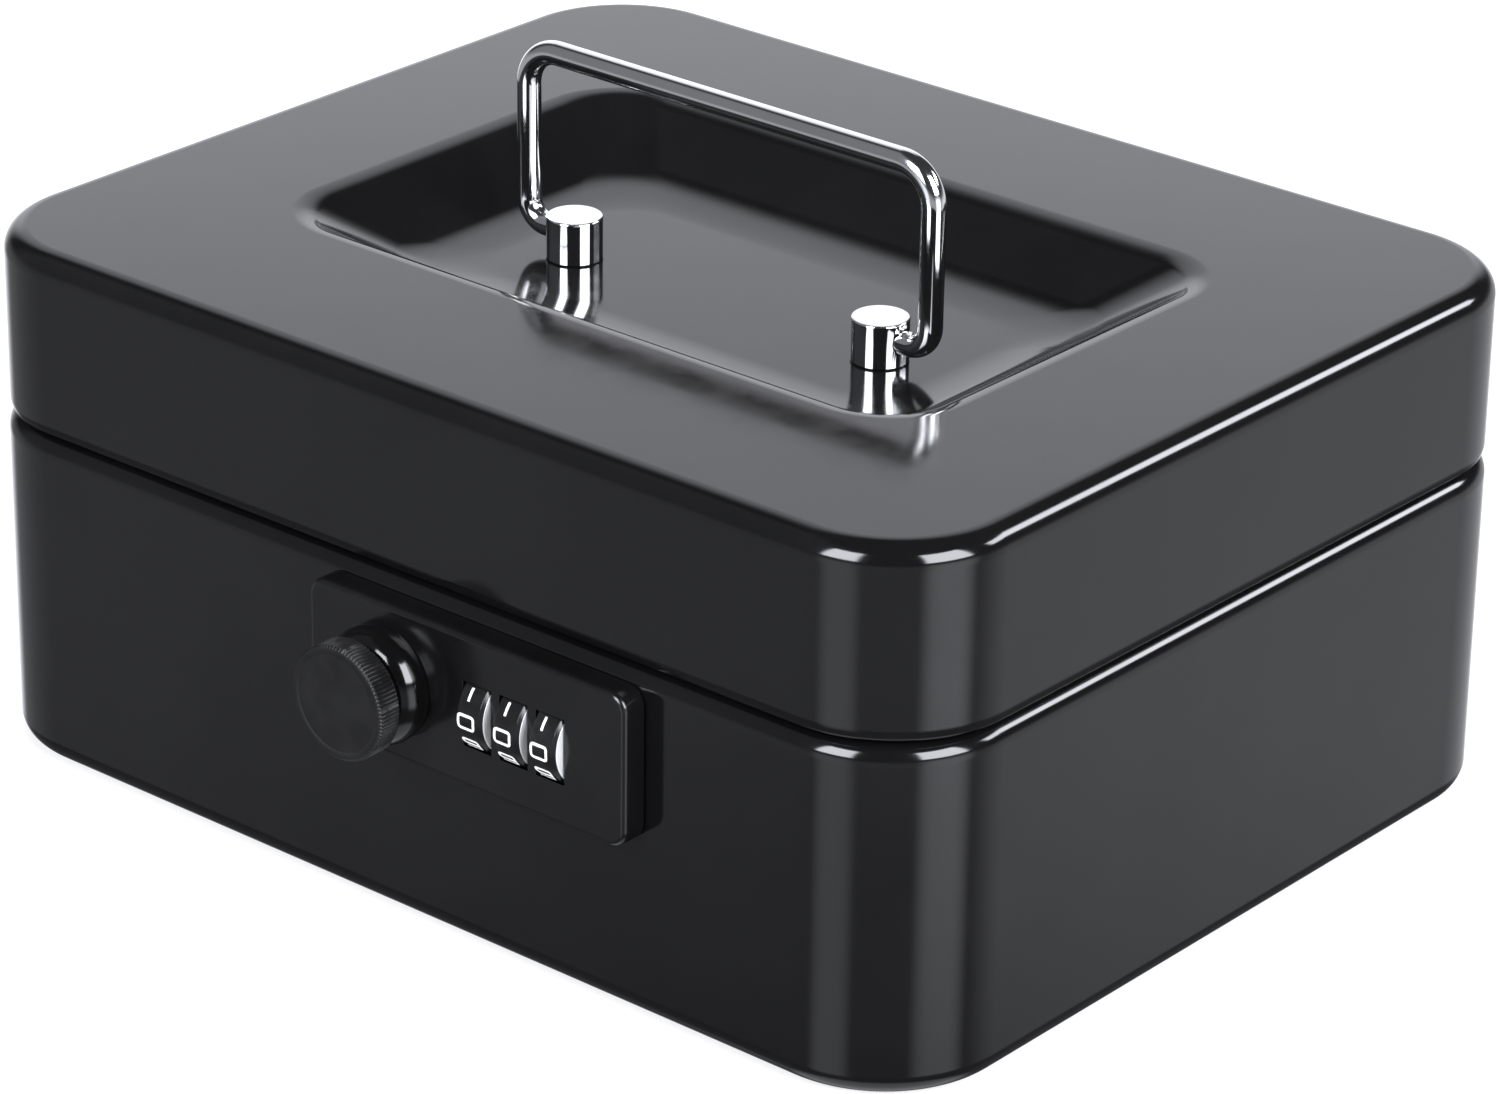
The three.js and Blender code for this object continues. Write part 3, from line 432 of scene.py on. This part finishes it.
def base_shell():
    """One sheet: up the wall, over the shoulder to the upstanding lip, around its edge and down inside."""
    high = box("base_shell")[1]
    half_x, half_y, top = high[0], high[1], high[2]

    def side_ring(inset, level):
        return ring(half_x - inset, half_y - inset, BASE["corner"] - inset, level)

    def wall(sheet):
        foot, shoulder = BASE["bottom"] - sheet, BASE["shoulder"] - sheet
        rows = [side_ring(BASE["bottom"] - a, b) for a, b in arc(0, BASE["bottom"], foot, -90, 0, 12)]
        crest = BASE["shoulder_z"] - BASE["shoulder"]
        last = 90 if sheet else math.degrees(math.acos(1 - BASE["lip_inset"] / BASE["shoulder"]))
        return rows + [side_ring(BASE["shoulder"] - a, b) for a, b in arc(0, crest, shoulder, 0, last, 10)]

    inset, lip = BASE["lip_inset"], BASE["lip"]
    outer = wall(0) + [side_ring(inset, BASE["shoulder_z"] + BASE["lip_foot"])]
    turn = [side_ring(inset + lip - a, b) for a, b in arc(0, top - lip, lip, 0, 180, 8)]
    inner = [side_ring(inset + SHEET, BASE["shoulder_z"] - SHEET + BASE["inner_foot"])]
    inner += reversed(wall(SHEET))
    obj = object_of(loft(outer + turn + inner), "base_shell_look")
    left, right = works_span()
    dial_low, dial_high = box("dial_wheel_1")
    front, back = -half_y - 1, -half_y + 2
    window = brick((left, front, dial_low[2] - WORKS["clear"]), (right, back, dial_high[2] + WORKS["clear"]))
    knob = middle("knob_disc")
    hole = cylinder(WORKS["knob_hole"], front, back, "y", (knob[0], knob[2]))
    boolean(obj, "DIFFERENCE", window, hole)
    piece(soften(obj), "base", "black_paint", [PAINT], "base_shell")


# ------------------------------------------------------------------ lock front
def lock_plate():
    low, high = box("lock_plate")
    centre = ((low[0] + high[0]) / 2, (low[2] + high[2]) / 2)
    half = ((high[0] - low[0]) / 2, (high[2] - low[2]) / 2)
    front, back, edge = low[1], high[1], PLATE["edge"]
    rows = [
        ring(half[0] - edge + a, half[1] - edge + a, PLATE["corner"] - edge + a, front + edge - b, centre, 16)
        for a, b in arc(0, 0, edge, 90, 0, 6)
    ]
    rows.append(ring(half[0], half[1], PLATE["corner"], back, centre, 16))
    obj = object_of(loft([to_axis(r, "y") for r in rows]), "lock_plate_look")
    tools = []
    for k in (1, 2, 3):
        x, y, z = middle(f"dial_wheel_{k}")
        near, far = x - DIAL["slot_width"] / 2, x + DIAL["slot_width"] / 2
        tools.append(cylinder(DIAL["slot_radius"], near, far, "x", (y, z), 96))
    left, right = works_span()
    z, half_z = middle("dial_wheel_1")[2], WORKS["half_z"]
    tools.append(brick((left, front + WORKS["skin"], z - half_z), (right, back + 1, z + half_z)))
    knob = middle("knob_disc")
    tools.append(cylinder(WORKS["knob_hole"], front - 1, back + 1, "y", (knob[0], knob[2])))
    boolean(obj, "DIFFERENCE", *tools)
    piece(soften(obj, 0.12, angle=50), "base", "lock_black", [LOCK], "lock_plate")


def knob_collar():
    low, high = box("knob_collar")
    knob = middle("knob_disc")
    radius = (high[0] - low[0]) / 2
    front, plate = low[1], box("lock_plate")[0][1]
    bore, tube, dome = (COLLAR_SHAPE[k] for k in ("bore", "tube", "dome"))
    belly = arc(radius - dome, front + dome, dome, 270, 360, 16)
    foot = arc(radius - dome, front + dome, dome, 0, COLLAR_SHAPE["foot_angle"], 5)[1:]
    seat = plate - HAIRLINE
    profile = [
        (bore, front), *belly, *foot, (foot[-1][0], seat), (tube, seat), (tube, high[1]), (bore, high[1]),
    ]
    obj = object_of(lathe(profile, "y", (knob[0], knob[2])), "knob_collar_look")
    piece(soften(obj), "base", "collar_black", [COLLAR], "knob_collar")


def knob_disc():
    low, high = box("knob_disc")
    x, _, z = middle("knob_disc")
    radius, front = (high[0] - low[0]) / 2, low[1]
    back, chamfer = KNOB["back"], KNOB["chamfer"]
    per_tooth = 6
    count = KNOB["teeth"] * per_tooth

    def row(shrink, depth, along):
        points = []
        for i in range(count):
            angle = 2 * math.pi * i / count
            groove = depth * (0.5 - 0.5 * math.cos(angle * KNOB["teeth"]))
            r = radius - shrink - groove
            points.append((x + r * math.cos(angle), z + r * math.sin(angle), along))
        return to_axis(points, "y")

    depth = KNOB["knurl"]
    rows = [
        row(KNOB["recess_inset"], 0, front + KNOB["recess"]),
        row(KNOB["face_inset"], 0, front),
        row(chamfer + 0.25, 0, front),
        row(chamfer, 0.05, front + 0.02),
        row(0.12, depth * 0.6, front + chamfer * 0.6),
        row(0, depth, front + chamfer),
        row(0, depth, back - chamfer),
        row(0.12, depth * 0.6, back - chamfer * 0.6),
        row(chamfer, 0.05, back),
        row(radius - KNOB["hub"], 0, back),
        row(radius - KNOB["hub"], 0, high[1]),
    ]
    obj = object_of(loft(rows), "knob_disc_look")
    spindle_front = box("knob_spindle")[0][1]
    boolean(obj, "DIFFERENCE", cylinder(KNOB["bore"], spindle_front - 0.3, high[1] + 1, "y", (x, z)))
    piece(soften(obj, angle=40), "knob", "knob_black", [KNOB_BLACK], "knob_disc")


# ------------------------------------------------------------------ dials
# Each digit's strokes as corners in a square from -1 to 1, with True for a closed stroke.
STROKES = {
    0: [([(-1, -1), (1, -1), (1, 1), (-1, 1)], True)],
    1: [([(0, -1), (0, 1)], False)],
    2: [([(-1, 1), (1, 1), (1, 0), (-1, 0), (-1, -1), (1, -1)], False)],
    3: [([(-1, 1), (1, 1), (1, -1), (-1, -1)], False), ([(-0.5, 0), (1, 0)], False)],
    4: [([(-1, 1), (-1, -0.2), (1, -0.2)], False), ([(0.5, 0.9), (0.5, -1)], False)],
    5: [([(1, 1), (-1, 1), (-1, 0), (1, 0), (1, -1), (-1, -1)], False)],
    6: [([(1, 1), (-1, 1), (-1, -1), (1, -1), (1, 0), (-1, 0)], False)],
    7: [([(-1, 1), (1, 1), (0, -1)], False)],
    8: [([(-1, -1), (1, -1), (1, 1), (-1, 1)], True), ([(-1, 0), (1, 0)], False)],
    9: [([(1, 0), (-1, 0), (-1, 1), (1, 1), (1, -1), (-1, -1)], False)],
}


def rounded_path(corners, closed, radius):
    """The corner list as a fine path with round corners."""
    count = len(corners)
    points = []
    for i, corner in enumerate(corners):
        here = Vector(corner)
        if not closed and i in (0, count - 1):
            points.append(here)
            continue
        before, after = Vector(corners[i - 1]), Vector(corners[(i + 1) % count])
        inward, onward = (before - here), (after - here)
        reach = min(radius, inward.length / 2, onward.length / 2)
        start, end = here + inward.normalized() * reach, here + onward.normalized() * reach
        curve = (k / 6 for k in range(7))
        points += [(1 - t) ** 2 * start + 2 * t * (1 - t) * here + t * t * end for t in curve]
    if closed:
        points.append(points[0])
    fine = [points[0]]
    for a, b in zip(points, points[1:]):
        steps = max(1, round((b - a).length / 0.2))
        fine += [a.lerp(b, (k + 1) / steps) for k in range(steps)]
    clean = [fine[0]]
    for p in fine[1:]:
        if (p - clean[-1]).length > 0.01:
            clean.append(p)
    if closed and (clean[0] - clean[-1]).length < 0.01:
        clean.pop()
    return clean


def add_stroke(bm, path, closed, wrap, material):
    """A flat raised stroke along the path, laid onto the dial by wrap."""
    half, rise, sink = DIGIT["stroke"], DIGIT["raise"], DIGIT["sink"]
    count = len(path)
    rows = []
    for i, here in enumerate(path):
        before = path[i - 1] if closed or i else here
        after = path[(i + 1) % count] if closed or i < count - 1 else here
        tangent = (after - before).normalized()
        side = Vector((-tangent.y, tangent.x)) * half
        rows.append([
            bm.verts.new(Vector(wrap(p, lift)) * MM)
            for p, lift in ((here + side, -sink), (here + side, rise),
                            (here - side, rise), (here - side, -sink))
        ])
    faces = []
    pairs = list(zip(rows, rows[1:])) + ([(rows[-1], rows[0])] if closed else [])
    for a, b in pairs:
        faces += [bm.faces.new((a[k], a[(k + 1) % 4], b[(k + 1) % 4], b[k])) for k in range(4)]
    if not closed:
        faces += [bm.faces.new(rows[0]), bm.faces.new(list(reversed(rows[-1])))]
    for face in faces:
        face.material_index = material
    bmesh.ops.recalc_face_normals(bm, faces=faces)


def dial(number):
    name = f"dial_wheel_{number}"
    low, high = box(name)
    x, y, z = middle(name)
    radius, bore, chamfer = DIAL["radius"], DIAL["bore"], DIAL["chamfer"]
    left, right = low[0], high[0]
    profile = [
        (bore, left), (radius - 0.25, left), (radius, left + 0.25),
        (radius, right - chamfer - 0.12), (radius - 0.03, right - chamfer), (radius - chamfer, right - 0.05),
        (radius - chamfer - 0.08, right), (bore, right),
    ]
    bm = lathe(profile, "x", (y, z), 120, [0, 0, 0, 0, 0, 1, 1, 0])
    scale = Vector((DIGIT["half_width"], DIGIT["half_height"]))
    for digit, strokes in STROKES.items():
        turn = math.radians(36 * digit - DIGIT["lean"])

        def wrap(p, lift, turn=turn):
            angle, reach = turn + p.y / radius, radius + lift
            return x + DIGIT["shift"] + p.x, y - reach * math.cos(angle), z + reach * math.sin(angle)

        for corners, closed in strokes:
            scaled = [(u * scale.x, v * scale.y) for u, v in corners]
            add_stroke(bm, rounded_path(scaled, closed, DIGIT["corner"]), closed, wrap, 2)
    obj = object_of(bm, name + "_look")
    looks = [DIAL_BLACK, DIAL_PLATED_PAINTED_SHINE, DIGIT_WHITE]
    piece(soften(obj, angle=30), f"dial_{number}", "dial_black", looks, name)


# ------------------------------------------------------------------ hinges
def hinge_leaf(name, body, toward):
    """A leaf with its knuckles and rivets; toward is 1 for the lid's leaf and -1 for the base's."""
    pivot = JOINT_POS["lid_hinge"]
    x = middle(name)[0]
    half, inner, knuckle = HINGE["half"], HINGE["inner"], HINGE["knuckle"]
    front, back = pivot[1] - knuckle, pivot[1] - knuckle + 1
    near, far = knuckle + HINGE["gap"], HINGE["leaf"]
    centre = (x, pivot[2] + toward * (near + far) / 2)
    half_z = (far - near) / 2
    edge = ((0, front), (0, back - 0.2), (0.06, back - 0.06), (0.2, back))
    rows = [ring(half - inset, half_z - inset, HINGE["corner"], level, centre, 8) for inset, level in edge]
    obj = object_of(loft([to_axis(r, "y") for r in rows]), name + "_look")
    spans = [(-inner, inner)] if toward > 0 else [(-half, -inner - 0.3), (inner + 0.3, half)]
    joins = []
    for span in spans:
        a, b = x + span[0], x + span[1]
        z0, z1 = sorted((pivot[2], pivot[2] + toward * (near + HINGE["corner"] + 0.5)))
        joins.append(brick((a, front + 0.02, z0), (b, back - 0.02, z1)))
        face = knuckle - 0.15
        barrel = [(0, a), (face, a), (knuckle, a + 0.15), (knuckle, b - 0.15), (face, b), (0, b)]
        joins.append(lathe(barrel, "x", (pivot[1], pivot[2]), 48))
    if toward > 0:
        heel_low = (x - HINGE["heel_half"], pivot[1] + 1.7, pivot[2] - 0.4)
        heel_high = (x + HINGE["heel_half"], pivot[1] + 4, pivot[2] + 0.4)
        joins.append(brick(heel_low, heel_high))
    rivet = HINGE["rivet_radius"]
    head = [
        (0, back - 0.3), (rivet, back - 0.3), (rivet, back + 0.05),
        (rivet - 0.3, back + 0.35), (rivet - 1, back + 0.55), (0, back + 0.6),
    ]
    for offset in (-HINGE["rivet"], HINGE["rivet"]):
        joins.append(lathe(head, "y", (x + offset, centre[1]), 40))
    boolean(obj, "UNION", *joins)
    boolean(obj, "DIFFERENCE", cylinder(HINGE["pin"] + 0.2, x - 20, x + 20, "x", (pivot[1], pivot[2]), 40))
    piece(soften(obj, angle=40), body, "black_paint", [PAINT], name)


def hinge_pin(name):
    pivot = JOINT_POS["lid_hinge"]
    low, high = box(name)
    r = HINGE["pin"]
    head = high[0] - 0.7
    profile = [(0, low[0]), (r - 0.2, low[0]), (r, low[0] + 0.2), (r, head), (r + 0.75, head),
               (r + 0.8, head + 0.3), (r + 0.4, high[0]), (0, high[0])]
    obj = object_of(lathe(profile, "x", (pivot[1], pivot[2]), 48), name + "_look")
    piece(soften(obj), "base", "zinc", [ZINC], name)


# ------------------------------------------------------------------ tray
def flared_rings(half, corner, level, radius, angles, centre, steps):
    """Rounded rectangles stacked along an arc: each grows by the arc's reach and rises by its height."""
    return [
        ring(half[0] + reach, half[1] + reach, max(corner + reach, 1), level + rise, centre, steps)
        for reach, rise in arc(-radius, 0, radius, *angles)
    ]


def money_tray():
    low, high = box("money_tray")
    half = ((high[0] - low[0]) / 2, (high[1] - low[1]) / 2)
    centre = ((low[0] + high[0]) / 2, (low[1] + high[1]) / 2)
    corner, wall, foot, rim, mouth = (TRAY_SHAPE[k] for k in ("corner", "wall", "foot", "rim", "mouth"))
    steps = 12
    rows = flared_rings(half, corner, low[2] + foot, foot, (-90, 0, 6), centre, steps)
    rows += flared_rings(half, corner, high[2] - rim, rim, (0, 90, 3), centre, steps)
    obj = object_of(loft(rows), "money_tray_look")
    inner = 2 * (half[0] - wall)
    cups, divider = TRAY_SHAPE["cups"], TRAY_SHAPE["divider_y"]
    cup = (inner - (cups - 1) * wall) / cups

    def pocket(x0, x1, y0, y1, fillet):
        place = ((x0 + x1) / 2, (y0 + y1) / 2)
        half_x, half_y, bend = (x1 - x0) / 2, (y1 - y0) / 2, corner - wall
        base, brim = low[2] + wall + fillet, high[2] - mouth
        rows = flared_rings((half_x, half_y), bend, base, fillet, (-90, 0, 10), place, steps)
        rows.append(ring(half_x, half_y, bend, brim, place, steps))
        for a, b in arc(0, 0, mouth, 0, 90, 4)[1:]:
            wider = mouth - a
            rows.append(ring(half_x + wider, half_y + wider, bend + wider, brim + b, place, steps))
        rows.append(ring(half_x + mouth, half_y + mouth, bend + mouth, high[2] + 2, place, steps))
        return loft(rows)

    start = centre[0] - inner / 2
    tools = []
    for i in range(cups):
        left = start + i * (cup + wall)
        tools.append(pocket(left, left + cup, low[1] + wall, divider, TRAY_SHAPE["cup_fillet"]))
    tools.append(pocket(start, start + inner, divider + wall, high[1] - wall, TRAY_SHAPE["note_fillet"]))
    boolean(obj, "DIFFERENCE", *tools)
    piece(soften(obj, angle=40), "tray", "tray_plastic", [TRAY], "money_tray")


# ------------------------------------------------------------------ build
lid_shell()
base_shell()
for side in ("left", "right"):
    handle_post(side)
    hinge_leaf(f"hinge_lid_leaf_{side}", "lid", 1)
    hinge_leaf(f"hinge_base_leaf_{side}", "base", -1)
    hinge_pin(f"hinge_pin_{side}")
handle_bail()
lock_plate()
knob_collar()
knob_disc()
for number in (1, 2, 3):
    dial(number)
money_tray()

SLOT_LOOK = {
    "black_paint": PAINT, "lock_black": LOCK, "collar_black": COLLAR, "knob_black": KNOB_BLACK,
    "dial_black": DIAL_BLACK, "chrome": CHROME, "zinc": ZINC, "spring_steel": SPRING, "brass": BRASS,
    "tray_plastic": TRAY,
}
for subpart in frame["record"]["subparts"]:
    kept = frame["nodes"][subpart["node"]]
    kept.data.materials.clear()
    kept.data.materials.append(SLOT_LOOK[subpart["material_slot"]])
    if not kept.modifiers:
        soften(kept, 0.12, angle=50)


# ------------------------------------------------------------------ stage, light and camera
FLOOR = {"size": 6, "tone": 0.3, "glow": 0.7}
PLAIN = 0.93
OVERHEAD = {"place": (0.1, 0.25, 1.5), "target": (0, 0, 0), "size": (1.6, 1.6), "power": 42}

# The room's own glow by the height of the direction, -1 down to 1 up: from, to, glow below, glow above.
# The three steps add up.
ROOM_STEPS = [(-0.52, -0.425, 0.12, 0.38), (-0.1, 0.2, 0, -0.34), (-0.9, -0.8, 0.8, 0)]

# Areas of light around the box: strength, then in degrees the azimuth, half width, side softness, low,
# high and end softness.
LIGHT_PATCHES = [
    (0.42, 74, 40, 15, -31, -1, 5),
    (0.75, -93, 11, 9, -38, 5, 6),
    (1.6, -5, 15, 11, -31, 5, 6),
    (1.13, 136, 23, 12, -30, 49, 10),
    (0.42, 130, 24, 10, 8, 21, 3.5),
    (0.16, -135, 35, 12, 5, 60, 8),
    (16.0, -93, 14.5, 2, 14, 48, 2),
    (16.0, -6, 19, 2, 14, 48, 2),
    (15.0, 52, 16, 3, 24, 35, 2),
]

# Degrees and millimetres. The camera looks at the middle of the box from in front and to the right.
VIEW = {"azimuth": 40.1, "elevation": 24.6, "roll": 0.83, "aim_z": 45, "right": 1.3, "up": -8,
        "distance": 942, "sensor": 36, "lens": 138.4}


def floor():
    """A pale, slightly self-lit floor in metres, which the box doesn't mirror."""
    bm = bmesh.new()
    bmesh.ops.create_grid(bm, x_segments=2, y_segments=2, size=FLOOR["size"])
    obj = object_of(bm, "floor")
    material = bpy.data.materials.new("floor")
    material.use_nodes = True
    surface = material.node_tree.nodes["Principled BSDF"]
    surface.inputs["Base Color"].default_value = (FLOOR["tone"],) * 3 + (1,)
    surface.inputs["Emission Color"].default_value = (1, 1, 1, 1)
    surface.inputs["Emission Strength"].default_value = FLOOR["glow"]
    surface.inputs["Roughness"].default_value = 0.9
    surface.inputs["Specular IOR Level"].default_value = 0.1
    obj.data.materials.append(material)
    obj.visible_glossy = False


def studio():
    """Broad dim areas of light and three small bright ones for the box; the camera sees a plain pale room."""
    world = bpy.data.worlds.new("studio")
    bpy.context.scene.world = world
    world.use_nodes = True
    tree = world.node_tree
    tree.nodes.clear()
    direction = node(tree, "ShaderNodeTexCoord").outputs["Generated"]
    height = node(tree, "ShaderNodeSeparateXYZ", {"Vector": direction}).outputs["Z"]
    level = node(tree, "ShaderNodeVectorMath", {0: direction, 1: (1, 1, 0)}, operation="MULTIPLY").outputs[0]
    level = node(tree, "ShaderNodeVectorMath", {0: level}, operation="NORMALIZE").outputs[0]

    def times(a, b):
        return node(tree, "ShaderNodeMath", {0: a, 1: b}, operation="MULTIPLY").outputs[0]

    def plus(a, b):
        return node(tree, "ShaderNodeMath", {0: a, 1: b}, operation="ADD").outputs[0]

    def across(azimuth, half_width, soft):
        angle = math.radians(azimuth)
        dot = node(tree, "ShaderNodeVectorMath", {0: level, 1: (math.cos(angle), math.sin(angle), 0)},
                   operation="DOT_PRODUCT").outputs["Value"]
        outer, inner = math.radians(half_width + soft), math.radians(half_width - soft)
        return ranged(tree, dot, math.cos(outer), math.cos(inner), 0, 1)

    def between(low, high, soft):
        def step(edge, before, after):
            start, end = math.sin(math.radians(edge - soft)), math.sin(math.radians(edge + soft))
            return ranged(tree, height, start, end, before, after)

        return times(step(low, 0, 1), step(high, 1, 0))

    glow = ranged(tree, height, *ROOM_STEPS[0])
    for change in ROOM_STEPS[1:]:
        glow = plus(glow, ranged(tree, height, *change))
    for strength, azimuth, half_width, side_soft, low, high, end_soft in LIGHT_PATCHES:
        patch = times(across(azimuth, half_width, side_soft), between(low, high, end_soft))
        glow = plus(glow, times(patch, strength))
    lit = node(tree, "ShaderNodeBackground", {"Color": (0.93, 0.945, 1, 1), "Strength": glow}).outputs[0]
    grey = (PLAIN,) * 3 + (1,)
    plain = node(tree, "ShaderNodeBackground", {"Color": grey, "Strength": 1.0}).outputs[0]
    seen = node(tree, "ShaderNodeLightPath").outputs["Is Camera Ray"]
    mix = node(tree, "ShaderNodeMixShader", {0: seen, 1: lit, 2: plain})
    output = node(tree, "ShaderNodeOutputWorld")
    tree.links.new(mix.outputs[0], output.inputs["Surface"])


def softbox(name, place, target, size, power):
    light = bpy.data.lights.new(name, "AREA")
    light.shape = "RECTANGLE"
    light.size, light.size_y = size
    light.energy = power
    obj = bpy.data.objects.new(name, light)
    obj.location = place
    obj.rotation_euler = (Vector(target) - Vector(place)).to_track_quat("-Z", "Y").to_euler()
    obj.visible_camera = False
    obj.visible_glossy = False
    bpy.context.scene.collection.objects.link(obj)


def camera():
    azimuth, elevation, roll = (math.radians(VIEW[k]) for k in ("azimuth", "elevation", "roll"))
    flat = math.cos(elevation)
    back = Vector((math.sin(azimuth) * flat, -math.cos(azimuth) * flat, math.sin(elevation)))
    right = Vector((math.cos(azimuth), math.sin(azimuth), 0))
    up = back.cross(right)
    place = Vector((0, 0, VIEW["aim_z"])) + back * VIEW["distance"] + right * VIEW["right"] + up * VIEW["up"]
    side = math.cos(roll) * right + math.sin(roll) * up
    top = math.cos(roll) * up - math.sin(roll) * right
    data = bpy.data.cameras.new("camera")
    data.sensor_fit = "HORIZONTAL"
    data.sensor_width = VIEW["sensor"]
    data.lens = VIEW["lens"]
    data.clip_start = 0.02
    obj = bpy.data.objects.new("camera", data)
    obj.matrix_world = Matrix((
        (side.x, top.x, back.x, place.x * MM),
        (side.y, top.y, back.y, place.y * MM),
        (side.z, top.z, back.z, place.z * MM),
        (0, 0, 0, 1),
    ))
    bpy.context.scene.collection.objects.link(obj)
    bpy.context.scene.camera = obj


floor()
studio()
softbox("overhead", **OVERHEAD)
camera()
bpy.context.scene.view_settings.view_transform = "Standard"
